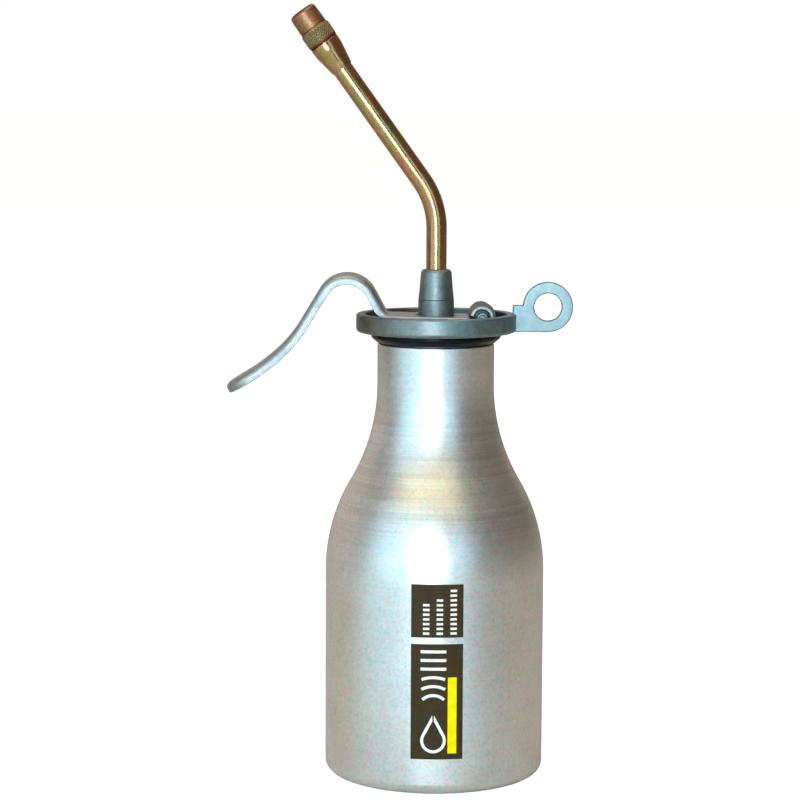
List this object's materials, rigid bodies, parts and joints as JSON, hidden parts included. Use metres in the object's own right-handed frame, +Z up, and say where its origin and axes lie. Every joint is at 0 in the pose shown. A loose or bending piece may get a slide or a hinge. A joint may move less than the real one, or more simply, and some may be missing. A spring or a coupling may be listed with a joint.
{
  "type": "hand pump oiler can",
  "caption": "Bottle-shaped aluminium hand pump oiler and sprayer with a thumb lever, a bent swivelling brass-coloured spout, an adjustable nozzle and a hanging eye.",
  "frame": {"origin": "centre of the bottle's base, on the plane that it stands on", "axes": "+Z up the bottle; the lever and the spout point to -X, the hanging eye to +X; symmetric about the XZ plane apart from the far hinge lug and the label"},
  "size_m": [0.1058, 0.0671, 0.2343],
  "materials": {
    "aluminium_satin": "satin, fine turned lines",
    "label_film": "printed film",
    "black_rubber": "moulded",
    "zinc_cast": "die-cast zinc, dull",
    "steel_bright": "ground",
    "black_acetal": "moulded",
    "zinc_plated": "bright zinc plate",
    "zinc_turned": "die-cast zinc, machined",
    "brass_plain": "drawn",
    "fibre_gasket": "pressed fibre",
    "white_acetal": "machined",
    "spring_steel": "spring wire",
    "clear_poly": "extruded polyethylene",
    "yellow_chromate": "yellow chromate",
    "nozzle_brass": "turned and knurled"
  },
  "bodies": {
    "can": {"bottle": "aluminium_satin", "label": "label_film"},
    "head": {"seal_ring": "black_rubber", "pump_cap": "zinc_cast", "hinge_pin": "steel_bright", "stem_guide": "brass_plain", "stem_seal": "black_rubber", "pump_barrel": "brass_plain", "barrel_gasket": "fibre_gasket", "barrel_nut": "steel_bright", "return_spring": "spring_steel", "foot_valve": "brass_plain", "ball_cage": "brass_plain", "dip_tube": "clear_poly", "strainer": "white_acetal"},
    "thumb_lever": {"lever": "zinc_plated", "hinge_bush": "black_acetal"},
    "plunger": {"plunger_head": "zinc_turned", "drive_pins": "steel_bright", "plunger_stem": "brass_plain", "piston": "white_acetal", "piston_seal": "black_rubber", "outlet_spring": "spring_steel"},
    "inlet_valve": {"inlet_ball": "steel_bright"},
    "outlet_valve": {"outlet_ball": "steel_bright"},
    "spout": {"spout_collar": "zinc_turned", "swivel_seal": "black_rubber", "swivel_clip": "spring_steel", "spout_tube": "yellow_chromate", "spout_tip": "yellow_chromate"},
    "nozzle": {"nozzle_cap": "nozzle_brass", "nozzle_core": "white_acetal", "nozzle_seal": "black_rubber"}
  },
  "joints": [
    {"name": "head_lift", "type": "slide", "parent": "can", "child": "head", "axis": [0, 0, 1], "range_m": [0, 0.13]},
    {"name": "lever_press", "type": "hinge", "parent": "head", "child": "thumb_lever", "pos_m": [0.0138, 0, 0.1408], "axis": [0, -1, 0], "range_deg": [0, 4.5], "stiffness_Nm_per_rad": 0.3, "springref_deg": -11.46},
    {"name": "plunger_stroke", "type": "slide", "parent": "head", "child": "plunger", "axis": [0, 0, -1], "range_m": [0, 0.00108], "deforming": ["return_spring"]},
    {"name": "spout_swivel", "type": "hinge", "parent": "plunger", "child": "spout", "pos_m": [0, 0, 0.1456], "axis": [0, 0, 1], "continuous": true},
    {"name": "nozzle_turn", "type": "hinge", "parent": "spout", "child": "nozzle", "pos_m": [-0.03388, 0, 0.22239], "axis": [-0.5835, 0, 0.8121], "range_deg": [0, 180]},
    {"name": "inlet_ball_lift", "type": "slide", "parent": "head", "child": "inlet_valve", "axis": [0, 0, 1], "range_m": [0, 0.0005]},
    {"name": "outlet_ball_lift", "type": "slide", "parent": "plunger", "child": "outlet_valve", "axis": [0, 0, 1], "range_m": [0, 0.0008], "deforming": ["outlet_spring"]}
  ],
  "couplings": [
    {"joint": "plunger_stroke", "follows": "lever_press", "m_per_rad": 0.0138}
  ]
}
